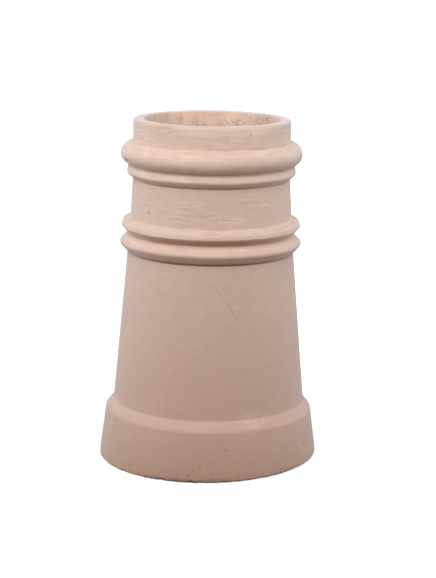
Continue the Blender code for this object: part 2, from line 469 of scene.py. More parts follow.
# Heights on the axis over which the wander of the beads and of the roll comes in and goes out
BEADS_BEGIN = (0.268, 0.276)
BEADS_END = (0.322, 0.332)
ROLL_BEGINS = (0.360, 0.372)
ROLL_ENDS = (0.424, 0.432)

# Heights on the axis over which turning marks and brush strokes grow to their full strength
BRUSHED_BEGINS = (0.265, 0.320)

# Levels over which the unevenness comes in above the ground, and the worn edge goes out
UNEVEN_BEGINS = (0.002, 0.03)
LOW_EDGE_ENDS = (0.002, 0.008)

# The foot's edges: the angle that makes an edge sharp, and how widely the front wear spreads round it
SHARP_EDGE = math.radians(45)
FRONT_WEAR_SPREAD = math.radians(30)

# Edges that turn by less than this are shaded smooth
SMOOTH_UNDER = math.radians(32)

# The crumbs' least and greatest width, rise and depth, and how many degrees they stray
CRUMB_LEAST = (0.0025, 0.0016, 0.0016)
CRUMB_MOST = (0.0060, 0.0034, 0.0030)
CRUMB_STRAY = 0.9

# Where marks and scratches end and are whole, from their middles: squared shares of a mark's half size,
# and shares of a scratch's length
MARK_FADES = (1.6, 0.3)
SCRATCH_FADES = (0.56, 0.46)

Band = namedtuple("Band", "low high soft strength")
Mark = namedtuple("Mark", "turn height width rise")
Patch = namedtuple("Patch", "mark strength")
Scratch = namedtuple("Scratch", "turn height end_turn end_height width strength")
Dent = namedtuple("Dent", "turn height width rise depth")
Chip = namedtuple("Chip", "turn width rise depth")

# Places on the pot: degrees from the front, positive to the right, and metres
DENTS = [
    Dent(-68, 0.400, 0.008, 0.006, 0.0018),
    Dent(-49, 0.3355, 0.010, 0.007, 0.0007),
    Dent(27, 0.4395, 0.006, 0.005, 0.0008),
    Dent(10, 0.0425, 0.008, 0.006, 0.0006),
    Dent(61, 0.0270, 0.018, 0.012, 0.0011),
    Dent(25, 0.0735, 0.030, 0.010, 0.0004),
    Dent(120, 0.1900, 0.030, 0.024, 0.0009),
    Dent(-135, 0.0300, 0.020, 0.014, 0.0010),
]
SPOTS = [
    Patch(Mark(-68.2, 0.3999, 0.0060, 0.0045), 0.60),
    Patch(Mark(-49.5, 0.3355, 0.0070, 0.0045), 0.30),
    Patch(Mark(27.5, 0.4394, 0.0034, 0.0028), 0.42),
    Patch(Mark(27.5, 0.2710, 0.0022, 0.0024), 0.40),
    Patch(Mark(27.3, 0.2621, 0.0022, 0.0024), 0.40),
    Patch(Mark(27.1, 0.2443, 0.0020, 0.0022), 0.35),
    Patch(Mark(9.6, 0.0425, 0.0034, 0.0022), 0.45),
    Patch(Mark(8.2, 0.0440, 0.0016, 0.0016), 0.30),
    Patch(Mark(-60.6, 0.0053, 0.0040, 0.0030), 0.60),
    Patch(Mark(63, 0.0290, 0.0040, 0.0020), 0.30),
    Patch(Mark(-10.5, 0.0080, 0.0030, 0.0026), 0.40),
    Patch(Mark(-16.0, 0.0060, 0.0026, 0.0020), 0.45),
    Patch(Mark(12.5, 0.2490, 0.0060, 0.0016), 0.20),
    Patch(Mark(14.5, 0.2580, 0.0030, 0.0016), 0.22),
    Patch(Mark(-39.0, 0.3640, 0.0040, 0.0016), 0.16),
]
DABS_AND_HIGHLIGHT = [
    Patch(Mark(16.3, 0.4313, 0.020, 0.010), 0.22),
    Patch(Mark(17.6, 0.3335, 0.034, 0.010), 0.30),
    Patch(Mark(30.4, 0.4154, 0.014, 0.006), 0.22),
    # This dab on the shoulder is pale speckled slip with a painted highlight on it
    Patch(Mark(25.3, 0.0750, 0.040, 0.020), 0.65),
    Patch(Mark(31, 0.4360, 0.014, 0.014), 0.28),
    Patch(Mark(61, 0.0270, 0.016, 0.010), 0.15),
    Patch(Mark(-8, 0.4210, 0.060, 0.004), 0.22),
]
BORE_PITS = [
    Patch(Mark(125.2, 0.4445, 0.0030, 0.0036), 1.00),
    Patch(Mark(123.0, 0.4413, 0.0026, 0.0024), 0.70),
    Patch(Mark(161.3, 0.4350, 0.0030, 0.0024), 0.80),
    Patch(Mark(158.6, 0.4322, 0.0030, 0.0020), 0.70),
    Patch(Mark(150.9, 0.4350, 0.0026, 0.0024), 0.65),
    Patch(Mark(144.4, 0.4437, 0.0024, 0.0022), 0.50),
    Patch(Mark(136.3, 0.4418, 0.0024, 0.0022), 0.50),
    Patch(Mark(-130.3, 0.4424, 0.0030, 0.0028), 0.38),
    Patch(Mark(-120.9, 0.4426, 0.0030, 0.0028), 0.38),
    Patch(Mark(-163.7, 0.4340, 0.0028, 0.0022), 0.50),
    Patch(Mark(-175.5, 0.4289, 0.0028, 0.0022), 0.50),
]
PALE_STROKES = [
    Scratch(5.0, 0.3312, 22.0, 0.3300, 0.0017, 0.95),
    Scratch(13.0, 0.3345, 25.5, 0.3322, 0.0016, 1.00),
    Scratch(13.0, 0.3283, 21.0, 0.3291, 0.0013, 0.60),
    Scratch(9.0, 0.3378, 13.5, 0.3375, 0.0013, 0.50),
    Scratch(-38.5, 0.4424, -34.0, 0.4420, 0.0014, 0.55),
    Scratch(-20.0, 0.3120, -15.0, 0.3116, 0.0014, 0.45),
]
SCRATCHES_AND_SHADOWS = [
    Scratch(3.3, 0.2463, 11.5, 0.2270, 0.0008, 0.20),
    Scratch(11.5, 0.2270, 16.3, 0.2095, 0.0009, 0.30),
    Scratch(16.8, 0.2090, 18.0, 0.2060, 0.0011, 0.22),
    Scratch(-4.2, 0.0228, -3.8, 0.0205, 0.0010, 0.60),
    Scratch(-3.8, 0.0205, -4.4, 0.0188, 0.0010, 0.45),
    Scratch(-8.2, 0.0160, -7.0, 0.0156, 0.0011, 0.45),
    Scratch(1.4, 0.0122, 3.4, 0.0124, 0.0011, 0.45),
    Scratch(-9.2, 0.0120, -9.6, 0.0085, 0.0011, 0.40),
    # The next two are painted shadows under pale strokes on the neck
    Scratch(7.0, 0.3328, 21.0, 0.3318, 0.0011, 0.13),
    Scratch(8.0, 0.3296, 20.0, 0.3286, 0.0010, 0.10),
    Scratch(10.0, 0.2560, 13.0, 0.2530, 0.0009, 0.14),
    Scratch(9.0, 0.2510, 14.0, 0.2480, 0.0009, 0.10),
]
PITTED = [
    Mark(162, 0.4320, 0.050, 0.020),
    Mark(133, 0.4370, 0.034, 0.020),
    Mark(-166, 0.4290, 0.040, 0.010),
    Mark(-112, 0.4400, 0.024, 0.014),
    Mark(-151, 0.4390, 0.012, 0.010),
]
WORN_EDGE = Mark(-13, 0.0, 0.125, 0.034)
CHIPS = [
    Chip(-49.6, 0.008, 0.0030, 0.0028),
    Chip(-41.0, 0.016, 0.0022, 0.0026),
    Chip(-32.0, 0.007, 0.0024, 0.0024),
    Chip(-24.0, 0.010, 0.0038, 0.0036),
    Chip(-17.8, 0.007, 0.0026, 0.0030),
    Chip(-9.0, 0.012, 0.0040, 0.0038),
    Chip(-3.4, 0.013, 0.0038, 0.0038),
    Chip(2.6, 0.006, 0.0024, 0.0028),
    Chip(8.1, 0.009, 0.0034, 0.0034),
    Chip(21.3, 0.004, 0.0036, 0.0028),
    Chip(32.0, 0.012, 0.0022, 0.0026),
    Chip(41.8, 0.006, 0.0032, 0.0030),
    Chip(74, 0.009, 0.0030, 0.0028),
    Chip(118, 0.007, 0.0026, 0.0026),
    Chip(171, 0.012, 0.0034, 0.0032),
    Chip(-150, 0.006, 0.0024, 0.0024),
    Chip(-98, 0.008, 0.0028, 0.0028),
]


class Upright:
    """Every vertex's place on the pot's own axis: its turn from the front, height and radius."""

    def __init__(self, pot, lean, shift):
        points = np.empty(len(pot.data.vertices) * 3)
        pot.data.vertices.foreach_get("co", points)
        x, self.y, self.level = points.reshape(-1, 3).T
        across = x - shift
        self.x = across * math.cos(lean) - self.level * math.sin(lean)
        self.height = across * math.sin(lean) + self.level * math.cos(lean)
        self.turn = np.arctan2(self.x, -self.y)
        self.radius = np.hypot(self.x, self.y)

    def near(self, mark):
        """A soft weight that falls from one at a mark's middle to nothing at its edge."""
        turns = (self.turn - math.radians(mark.turn) + math.pi) % math.tau - math.pi
        across = turns * self.radius / (mark.width / 2)
        up = (self.height - mark.height) / (mark.rise / 2)
        reach = np.hypot(across, up)
        return np.clip(1 - reach ** 2, 0, 1) ** 2

    def outside(self, section):
        """True on the outside, and false in the bore."""
        return self.radius > section.wall_radius(self.height) - section.sizes.wall / 2


def faded(values, start, end):
    """Nothing at start and one at end, with soft ends."""
    share_of_way = np.clip((values - start) / (end - start), 0, 1)
    return share_of_way * share_of_way * (3 - 2 * share_of_way)


def weigh(pot, name, weights):
    """Makes a vertex group from one weight for each vertex."""
    group = pot.vertex_groups.new(name=name)
    for index in np.flatnonzero(weights > 0.001):
        group.add([int(index)], float(weights[index]), "REPLACE")
    return name


def clouds(name, size, depth=1):
    """A soft noise for displacing the clay."""
    texture = bpy.data.textures.new(name, "CLOUDS")
    texture.noise_scale = size
    texture.noise_depth = depth
    return texture


def displace(pot, group, strength, direction="NORMAL", middle=0.5, texture=None, guide=None):
    """Moves the clay by a texture, or evenly where there is none."""
    make_active(pot)
    relief = pot.modifiers.new("relief", "DISPLACE")
    relief.strength = strength
    relief.direction = direction
    relief.mid_level = middle
    relief.vertex_group = group
    if texture:
        relief.texture = texture
    if guide:
        relief.texture_coords = "OBJECT"
        relief.texture_coords_object = guide
    bpy.ops.object.modifier_apply(modifier=relief.name)


def centre_on_frame(pot):
    """Puts the pot where the solid stands, and returns how far it moved."""
    lows = min(vertex.co.x for vertex in pot.data.vertices)
    highs = max(vertex.co.x for vertex in pot.data.vertices)
    shift = (POT_LOW.x + POT_HIGH.x - lows - highs) / 2
    make_active(pot)
    bpy.ops.object.mode_set(mode="EDIT")
    bpy.ops.mesh.select_all(action="SELECT")
    bpy.ops.transform.translate(value=(shift, 0, 0))
    bpy.ops.object.mode_set(mode="OBJECT")
    return shift


def round_foot(pot, sizes, wear, shift):
    """Rounds the two edges that the pot stands on, more where they are worn outside the body's radius."""
    mesh = bmesh.new()
    mesh.from_mesh(pot.data)
    rounding = mesh.edges.layers.float.new("bevel_weight_edge")
    for edge in mesh.edges:
        middle = (edge.verts[0].co + edge.verts[1].co) / 2
        if middle.z > MERGE_DISTANCE or edge.calc_face_angle(0) < SHARP_EDGE:
            continue
        turn = math.atan2(middle.x - shift, -middle.y)
        worn = 0.0
        if math.hypot(middle.x - shift, middle.y) > sizes.body_foot_radius:
            worn = math.exp(-((turn - wear.front_wear_turn) / FRONT_WEAR_SPREAD) ** 2)
        radius = sizes.foot_edge_round + worn * (wear.front_wear - sizes.foot_edge_round)
        edge[rounding] = radius / wear.front_wear
    mesh.to_mesh(pot.data)
    mesh.free()
    make_active(pot)
    bevel = pot.modifiers.new("foot edges", "BEVEL")
    bevel.limit_method = "WEIGHT"
    bevel.width = wear.front_wear
    bevel.segments = 5
    bevel.use_clamp_overlap = True
    bpy.ops.object.modifier_apply(modifier=bevel.name)


def roughen(pot, section, wear, shift):
    """Takes the pot away from a true turning: unevenness, wandering edges, turning marks, pits and dents."""
    lean = section.sizes.lean
    above_ground = faded(Upright(pot, lean, shift).level, *UNEVEN_BEGINS)
    walls = weigh(pot, "walls", above_ground)
    displace(pot, walls, wear.wave, texture=clouds("broad unevenness", wear.wave_size))

    place = Upright(pot, lean, shift)
    outside = place.outside(section)
    beads = faded(place.height, *BEADS_BEGIN) * (1 - faded(place.height, *BEADS_END))
    roll = faded(place.height, *ROLL_BEGINS) * (1 - faded(place.height, *ROLL_ENDS))
    mouldings = weigh(pot, "mouldings", np.maximum(beads, roll) * outside)
    displace(pot, mouldings, wear.wobble, "Z", texture=clouds("moulding wander", wear.wobble_size))

    clear_selection()
    bpy.ops.object.empty_add(location=(0, 0, 0))
    guide = bpy.context.object
    guide.scale = (wear.turning_stretch, wear.turning_stretch, 1)
    bpy.context.view_layer.update()
    smoother_below = 0.35 + 0.65 * faded(place.height, *BRUSHED_BEGINS)
    skin = weigh(pot, "skin", above_ground * outside * smoother_below)
    displace(pot, skin, wear.turning, texture=clouds("turning marks", wear.turning_size, 2), guide=guide)
    bpy.data.objects.remove(guide)

    inside = weigh(pot, "inside", np.logical_not(outside) * above_ground)
    displace(pot, inside, wear.pitting, middle=0.7, texture=clouds("pitted clay", wear.pitting_size, 2))

    place = Upright(pot, lean, shift)
    outside = place.outside(section)
    deepest = max(dent.depth for dent in DENTS)
    hollows = np.zeros(len(place.height))
    for dent in DENTS:
        hollows = np.maximum(hollows, place.near(dent) * dent.depth / deepest)
    dents = weigh(pot, "dents", hollows * outside)
    displace(pot, dents, -deepest, middle=0)

    low_edge = weigh(pot, "low edge", (1 - faded(place.level, *LOW_EDGE_ENDS)) * outside)
    displace(pot, low_edge, wear.edge_wear, middle=0.85, texture=clouds("edge wear", wear.edge_wear_size, 2))


def crumbs(wear):
    """Small chips crowded along the most crumbled stretch of the foot's edge."""
    chance = np.random.default_rng(wear.crumb_seed)
    small = []
    for place in np.linspace(wear.crumbs_from, wear.crumbs_to, wear.crumb_count):
        turn = math.degrees(place) + chance.uniform(-CRUMB_STRAY, CRUMB_STRAY)
        small.append(Chip(turn, *chance.uniform(CRUMB_LEAST, CRUMB_MOST)))
    return small


def chip_foot(pot, section, wear, shift):
    """Breaks chips out of the foot's edge, and marks their faces as bare clay."""
    chip_slot = bpy.data.materials.new("chip")
    cutters = []
    for number, chip in enumerate(CHIPS + crumbs(wear)):
        clear_selection()
        bpy.ops.mesh.primitive_ico_sphere_add(subdivisions=2, radius=1)
        cutter = bpy.context.object
        turn = math.radians(chip.turn)
        outwards = Vector((math.sin(turn), -math.cos(turn), 0))
        cutter.scale = (chip.width / 2, chip.depth, chip.rise)
        cutter.rotation_euler = (0, 0, turn)
        cutter.location = outwards * section.foot.x + Vector((shift, 0, 0))
        bpy.ops.object.transform_apply(location=True, rotation=True, scale=True)
        broken = clouds("break " + str(number), chip.width / 4, 1)
        displace(cutter, "", chip.depth / 2, texture=broken)
        cutter.data.materials.append(chip_slot)
        cutters.append(cutter)
    clear_selection()
    for cutter in cutters:
        cutter.select_set(True)
    bpy.context.view_layer.objects.active = cutters[0]
    bpy.ops.object.join()
    tool = bpy.context.object
    make_active(pot)
    pot.data.materials.append(chip_slot)
    cut = pot.modifiers.new("chips", "BOOLEAN")
    cut.operation = "DIFFERENCE"
    cut.solver = "EXACT"
    cut.use_self = True
    cut.object = tool
    bpy.ops.object.modifier_apply(modifier=cut.name)
    bpy.data.objects.remove(tool)


class Field:
    """One value, vector or colour in a material's nodes. Expressions on values add their Math nodes."""

    def __init__(self, graph, socket):
        self.graph = graph
        self.socket = socket

    def __add__(self, other):
        return self.graph.maths("ADD", self, other)

    def __radd__(self, other):
        return self.graph.maths("ADD", other, self)

    def __sub__(self, other):
        return self.graph.maths("SUBTRACT", self, other)

    def __rsub__(self, other):
        return self.graph.maths("SUBTRACT", other, self)

    def __mul__(self, other):
        return self.graph.maths("MULTIPLY", self, other)

    def __rmul__(self, other):
        return self.graph.maths("MULTIPLY", other, self)

    def __truediv__(self, other):
        return self.graph.maths("DIVIDE", self, other)


class Graph:
    """The nodes of one material or world."""

    def __init__(self, tree):
        self.tree = tree

    def feed(self, socket, value):
        """Links a field to a socket, or sets a plain value on it."""
        if isinstance(value, Field):
            self.tree.links.new(value.socket, socket)
        else:
            socket.default_value = value

    def node(self, kind, settings, sockets, output=0):
        """Adds a node: its settings, then its sockets' values or links. Gives the field of one output."""
        made = self.tree.nodes.new(kind)
        for name, value in settings.items():
            setattr(made, name, value)
        for name, value in sockets.items():
            self.feed(made.inputs[name], value)
        return Field(self, made.outputs[output])

    def maths(self, operation, first, second=0.0, clamp=False):
        settings = {"operation": operation, "use_clamp": clamp}
        return self.node("ShaderNodeMath", settings, {0: first, 1: second})

    def greatest(self, values):
        """The greatest of several values, or nothing where none is above it."""
        most = 0.0
        for value in values:
            most = self.maths("MAXIMUM", most, value)
        return most

    def scaled(self, vector, factors):
        """A vector times a factor along each axis."""
        return self.node("ShaderNodeVectorMath", {"operation": "MULTIPLY"}, {0: vector, 1: factors})

    def dimmed(self, tone, strength):
        """A colour made lighter or darker by one factor."""
        return self.node("ShaderNodeVectorMath", {"operation": "SCALE"}, {0: tone, "Scale": strength})

    def split(self, vector):
        """The three parts of a vector."""
        node = self.node("ShaderNodeSeparateXYZ", {}, {"Vector": vector}).socket.node
        return [Field(self, socket) for socket in node.outputs]

    def joined(self, x, y, z):
        return self.node("ShaderNodeCombineXYZ", {}, {"X": x, "Y": y, "Z": z})

    def mix(self, factor, below, above):
        """One colour over another."""
        colours = {6: opaque(below), 7: opaque(above)}
        return self.node("ShaderNodeMix", {"data_type": "RGBA"}, {0: factor, **colours}, 2)

    def faded(self, value, start, end):
        """Nothing at start and one at end, with soft ends."""
        settings = {"interpolation_type": "SMOOTHSTEP"}
        return self.node("ShaderNodeMapRange", settings, {"Value": value, "From Min": start, "From Max": end})

    def ranged(self, value, start, end):
        """Nothing at start and one at end, in a straight line between them."""
        return self.node("ShaderNodeMapRange", {}, {"Value": value, "From Min": start, "From Max": end})

    def noise(self, vector, size, detail=2.0, roughness=0.5):
        """Soft noise from nothing to one, in patches of about a size in metres."""
        sockets = {"Vector": vector, "Scale": 1 / size, "Detail": detail, "Roughness": roughness}
        return self.node("ShaderNodeTexNoise", {}, sockets)

    def bump(self, relief):
        """The normal of a surface with a relief in metres."""
        return self.node("ShaderNodeBump", {}, {"Strength": 1.0, "Distance": 1.0, "Height": relief})


def opaque(tone):
    """A colour property with its alpha, or a field as it is."""
    if isinstance(tone, Field):
        return tone
    return (*tone, 1)


class Surface:
    """Where a shaded point lies on the pot's own axis: its turn from the front, height and radius."""

    def __init__(self, graph, section, shift):
        self.graph = graph
        self.section = section
        lean = section.sizes.lean
        place = graph.node("ShaderNodeTexCoord", {}, {}, "Object")
        x, y, self.level = graph.split(place)
        self.across = (x - shift) * math.cos(lean) - self.level * math.sin(lean)
        self.height = (x - shift) * math.sin(lean) + self.level * math.cos(lean)
        self.point = graph.joined(self.across, y, self.height)
        self.turn = graph.maths("ARCTAN2", self.across, 0 - y)
        self.radius = graph.maths("SQRT", self.across * self.across + y * y)
        self.facing_up = graph.split(graph.node("ShaderNodeNewGeometry", {}, {}, "Normal"))[2]

    def brushed(self, longer):
        """The point drawn out along the brush, which goes round the pot and wanders a little up and down."""
        graph = self.graph
        x, y, height = graph.split(self.point)
        wander = (graph.noise(self.point, 0.080, 1) - 0.5) * 0.012
        return graph.scaled(graph.joined(x, y, height + wander), (1 / longer, 1 / longer, 1))

    def near(self, mark):
        """One at a mark's middle, falling to nothing at its edge."""
        radius = float(self.section.wall_radius(mark.height))
        across = (self.turn - math.radians(mark.turn)) * (2 * radius / mark.width)
        up = (self.height - mark.height) * (2 / mark.rise)
        return self.graph.faded(across * across + up * up, *MARK_FADES)

    def along(self, scratch):
        """One along the middle of a scratch, falling to nothing at its sides and ends."""
        graph = self.graph
        radius = float(self.section.wall_radius((scratch.height + scratch.end_height) / 2))
        run = math.radians(scratch.end_turn - scratch.turn) * radius
        fall = scratch.end_height - scratch.height
        whole = math.hypot(run, fall)
        right = (self.turn - math.radians(scratch.turn)) * radius
        up = self.height - scratch.height
        part = (right * (run / whole) + up * (fall / whole)) / whole
        aside = graph.maths("ABSOLUTE", right * (fall / whole) - up * (run / whole))
        past_ends = graph.maths("ABSOLUTE", part - 0.5)
        beside = graph.faded(aside, scratch.width, scratch.width * 0.2)
        return beside * graph.faded(past_ends, *SCRATCH_FADES)

    def within(self, band):
        """A band's strength between its two levels, falling to nothing over its soft edges."""
        half = band.soft / 2
        over = self.graph.faded(self.height, band.low - half, band.low + half)
        under = self.graph.faded(self.height, band.high + half, band.high - half)
        return over * under * band.strength

    def towards(self, turn, whole, none):
        """One within whole degrees of a turn from the front, falling to nothing at none degrees."""
        away = self.graph.maths("ABSOLUTE", self.turn - math.radians(turn))
        return self.graph.faded(away, math.radians(none), math.radians(whole))

    def in_bore(self):
        """One on the bore's wall and nothing on the rim or the outside, split just past the bore's radius."""
        graph = self.graph
        section = self.section
        levels = [0.0, section.shoulder_top, section.waist_level, section.fillet]
        corners = [section.bore_foot, section.bore_body_foot, section.bore_waist, section.bore_neck]
        split = corners[0].x + BORE_MARGIN
        for (low, high), (below, above) in zip(zip(levels, levels[1:]), zip(corners, corners[1:])):
            split = split + graph.ranged(self.height, low, high) * (above.x - below.x)
        return graph.faded(self.radius - split, BORE_MARGIN * 0.3, 0 - BORE_MARGIN * 0.3)


def shade_and_dirt_bands(section):
    """Where shade is painted, with some dirt: in nicks, on undersides and contact lines, and thinly on the
    shoulder's edge.
    """
    (_, roll), (neck_wall, fillet), (_, upper_bead), (body_wall, lower_bead) = section.mouldings()
    nick = crossing(roll.under_flank, fillet.top_flank).y
    under_fillet = crossing(fillet.under_flank, neck_wall).y
    over_bead = crossing(neck_wall, upper_bead.top_flank).y
    groove = crossing(upper_bead.under_flank, lower_bead.top_flank).y
    under_bead = crossing(lower_bead.under_flank, body_wall).y
    return [
        Band(nick - 0.0022, nick + 0.0022, 0.0024, 0.64),
        Band(under_fillet - 0.0011, under_fillet + 0.0014, 0.0016, 1.20),
        Band(over_bead + 0.0016, over_bead + 0.0028, 0.0010, 0.12),
        Band(groove + 0.0010, upper_bead.end.y - 0.0024, 0.0044, 1.10),
        Band(lower_bead.centre.y - 0.0030, lower_bead.centre.y + 0.0018, 0.0024, 0.34),
        Band(under_bead - 0.0010, under_bead + 0.0050, 0.0024, 0.30),
        Band(under_bead - 0.0002, under_bead + 0.0033, 0.0012, 1.35),
        Band(section.shoulder_edge - 0.0030, section.shoulder_edge + 0.0020, 0.0030, 0.15),
    ]


def contact_shadow_band(section):
    """A painted shadow, the darkest line, where the lower bead meets the body."""
    _, _, _, (body_wall, lower_bead) = section.mouldings()
    under_bead = crossing(lower_bead.under_flank, body_wall).y
    return Band(under_bead - 0.0004, under_bead + 0.0024, 0.0012, 0.50)


def highlight_bands(section):
    """Painted highlight all round: on the fillet's face, the tops of the beads and their lips."""
    (_, roll), (_, fillet), (neck_wall, upper_bead), (_, lower_bead) = section.mouldings()
    nick = crossing(roll.under_flank, fillet.top_flank).y
    over_bead = crossing(neck_wall, upper_bead.top_flank).y
    groove = crossing(upper_bead.under_flank, lower_bead.top_flank).y
    return [
        Band(fillet.start.y - 0.0012, nick - 0.0030, 0.0022, 0.58),
        Band(upper_bead.centre.y, over_bead + 0.0024, 0.0016, 0.22),
        Band(upper_bead.end.y - 0.0006, upper_bead.end.y + 0.0024, 0.0030, 1.00),
        Band(lower_bead.start.y, groove - 0.0010, 0.0012, 0.32),
        Band(lower_bead.start.y + 0.0026, groove - 0.0020, 0.0036, 0.78),
    ]


def highlit_crests(surface):
    """Painted highlight: on the crests, the collar's front and most of the shoulder, fading towards the
    shoulder's right.
    """
    section = surface.section
    graph = surface.graph
    right_of_front = graph.faded(surface.turn, math.radians(26), math.radians(45))
    shoulder_face = Band(section.shoulder_edge + 0.0046, section.shoulder_top + 0.0010, 0.0040, 0.22)
    collar_top = Band(section.rim_level - 0.0115, section.rim_level - 0.0008, 0.0060, 0.55)
    shoulder = surface.within(shoulder_face) * (1 - right_of_front)
    collar = surface.within(collar_top) * surface.towards(13, 24, 46)
    return graph.greatest([shoulder, collar] + [surface.within(band) for band in highlight_bands(section)])


def pitted(surface):
    """Pits inside the mouth, and the pale flecks among them, thicker in some places than in others."""
    graph = surface.graph
    crowd = graph.greatest(surface.near(mark) for mark in PITTED)
    fine = graph.noise(surface.point, 0.0021, 3, 0.7)
    small = graph.faded(fine - crowd * 0.11, 0.33, 0.25) * 0.5
    large = [surface.near(pit.mark) * pit.strength for pit in BORE_PITS]
    return graph.greatest([small] + large), graph.faded(fine, 0.54, 0.66) * crowd


def pale_marks(surface):
    """Dabs of slip, one of them partly a painted highlight, broken up along the brush, and pale strokes."""
    graph = surface.graph
    broken = graph.faded(graph.noise(surface.brushed(3), 0.0030, 2, 0.6), 0.36, 0.62)
    dabs_and_highlight = [surface.near(dab.mark) * broken * dab.strength for dab in DABS_AND_HIGHLIGHT]
    return graph.greatest(dabs_and_highlight + [surface.along(stroke) * stroke.strength for stroke in PALE_STROKES])


def dark_marks(surface):
    """Dark spots and scratches, two of them painted shadows under pale strokes."""
    spots = [surface.near(spot.mark) * spot.strength for spot in SPOTS]
    scratches_and_shadows = [surface.along(scratch) * scratch.strength for scratch in SCRATCHES_AND_SHADOWS]
    return surface.graph.greatest(spots + scratches_and_shadows)


def worn_and_shaded_foot(surface, tone, finish):
    """The slip's colour, with brown crumbs and bare clay along the foot's ragged edge, and painted shade
    where its rounding turns under.
    """
    graph = surface.graph
    crumbled = graph.noise(surface.point, 0.0042, 3, 0.7)
    worn = surface.near(WORN_EDGE)
    ragged = surface.level + (crumbled - 0.5) * 0.010
    tone = graph.mix(graph.faded(ragged, 0.0068, 0.0032) * worn * 0.60, tone, finish.brown_stain)
    tone = graph.mix(graph.faded(ragged, 0.0032, 0.0008) * (worn * 0.8 + 0.10), tone, finish.bare_clay)
    # Painted shade in the bare clay's colour, on the rounding where the foot's edge turns under
    turn_under_shade = graph.faded(surface.facing_up, 0.02, -0.13) * graph.faded(surface.level, 0.0036, 0.0016)
    return graph.mix(turn_under_shade * 0.85, tone, finish.bare_clay)


def brushed_slip(section, finish, shift):
    """Matt buff slip, brushed round the pot, over red-brown clay that shows where it is worn."""
    material = bpy.data.materials.new("brushed_buff_slip")
    material.use_nodes = True
    graph = Graph(material.node_tree)
    surface = Surface(graph, section, shift)

    broad = graph.noise(surface.point, 0.065, 2)
    cloudy = graph.noise(surface.point, 0.014, 3, 0.6)
    grain = graph.noise(surface.point, 0.0023, 3, 0.7)
    strokes = graph.noise(surface.brushed(13), 0.0019, 3, 0.6)
    swathes = graph.noise(surface.brushed(5), 0.0100, 2)
    patches = graph.faded(graph.noise(surface.brushed(2.5), 0.022, 2), 0.34, 0.62)
    brushed = (graph.faded(surface.height, *BRUSHED_BEGINS) * 0.8 + 0.2) * patches

    # The slip darker towards the bottom, and darker still near the ground
    depth = graph.ranged(surface.height, section.roll + section.sizes.roll_crest, 0.012)
    tone = graph.mix(depth, finish.slip, finish.slip_low)
    # Painted highlight on the crests, the collar's front and the shoulder
    tone = graph.mix(highlit_crests(surface), tone, graph.scaled(tone, finish.crest_highlight_gain))
    tone = graph.mix(graph.faded(surface.height, 0.060, 0.0), tone, graph.scaled(tone, finish.foot_darkening))
    change = (broad - 0.5) * 0.06 + (cloudy - 0.5) * 0.14 + (grain - 0.5) * 0.14
    change = change + ((strokes - 0.5) * 0.92 + (swathes - 0.5) * 0.18) * brushed
    tone = graph.dimmed(tone, change + 1)

    # Pale dabs and strokes of slip; the dab on the shoulder is partly a painted highlight
    tone = graph.mix(pale_marks(surface), tone, graph.scaled(tone, finish.dab_gain))
    rim = graph.faded(surface.height, section.rim_level - 0.0022, section.rim_level - 0.0006)
    tone = graph.mix(rim * 0.85, tone, finish.rim_slip)

    # Painted shade on faces that look down, warm like light bounced off the clay
    shaded_undersides = graph.faded(surface.facing_up, -0.05, -0.75)
    tone = graph.mix(shaded_undersides, tone, graph.scaled(tone, finish.underside_shade))
    # Painted shade with some dirt in the nicks, on undersides and along contact lines, strongest at the front
    dirt_and_shade = graph.greatest(surface.within(band) for band in shade_and_dirt_bands(section))
    shade_most_in_front = surface.towards(-6, 18, 60) * 0.50 + 0.50
    dirt_and_shade = graph.maths("MULTIPLY", dirt_and_shade * shade_most_in_front, cloudy + 0.40, clamp=True)
    tone = graph.mix(dirt_and_shade * 0.80, tone, finish.recess_shade_and_dirt)
    # Painted shadow along the line where the lower bead meets the body, strongest at the front
    tone = graph.dimmed(tone, 1 - surface.within(contact_shadow_band(section)) * shade_most_in_front)

    # Dark spots and scratches, and two painted shadows under pale strokes
    spots = dark_marks(surface)
    tone = graph.mix(spots, tone, finish.speck)

    inside = surface.in_bore()
    pits, flecks = pitted(surface)
    pits = pits * inside
    # Painted shade on the bore's walls towards the sides
    bore_side_shade = graph.faded(graph.maths("ABSOLUTE", surface.across), 0.030, 0.075)
    gritty = graph.noise(surface.point, 0.0030, 3, 0.7) * 0.40 + cloudy * 0.40 + flecks * 0.22 + 0.68
    tone = graph.mix(inside, tone, graph.dimmed(finish.inside, gritty - bore_side_shade * 0.26))
    tone = graph.mix(pits * 0.85, tone, finish.inside_speck)
    tone = worn_and_shaded_foot(surface, tone, finish)

    relief = strokes * brushed * 0.00012 + grain * 0.00007 - spots * 0.0005 - pits * 0.0007
    shader = material.node_tree.nodes["Principled BSDF"]
    graph.feed(shader.inputs["Base Color"], tone)
    graph.feed(shader.inputs["Roughness"], (cloudy - 0.5) * 0.10 + finish.roughness)
    graph.feed(shader.inputs["Normal"], graph.bump(relief))
    shader.inputs["Metallic"].default_value = 0
    shader.inputs["Specular IOR Level"].default_value = 0.5
    shader.inputs["Sheen Weight"].default_value = finish.sheen
    shader.inputs["Sheen Roughness"].default_value = 0.5
    shader.inputs["Sheen Tint"].default_value = (0.95, 0.97, 1.0, 1)
    return material


def broken_clay(finish):
    """Red-brown clay on the faces of the chips."""
    material = bpy.data.materials.new("broken_red_clay")
    material.use_nodes = True
    graph = Graph(material.node_tree)
    place = graph.node("ShaderNodeTexCoord", {}, {}, "Object")
    grit = graph.noise(place, 0.0012, 3, 0.7)
    tone = graph.mix(graph.faded(grit, 0.45, 0.7), finish.bare_clay, finish.brown_stain)
    shader = material.node_tree.nodes["Principled BSDF"]
    graph.feed(shader.inputs["Base Color"], tone)
    graph.feed(shader.inputs["Roughness"], grit * 0.1 + 0.8)
    graph.feed(shader.inputs["Normal"], graph.bump(grit * 0.0003))
    return material


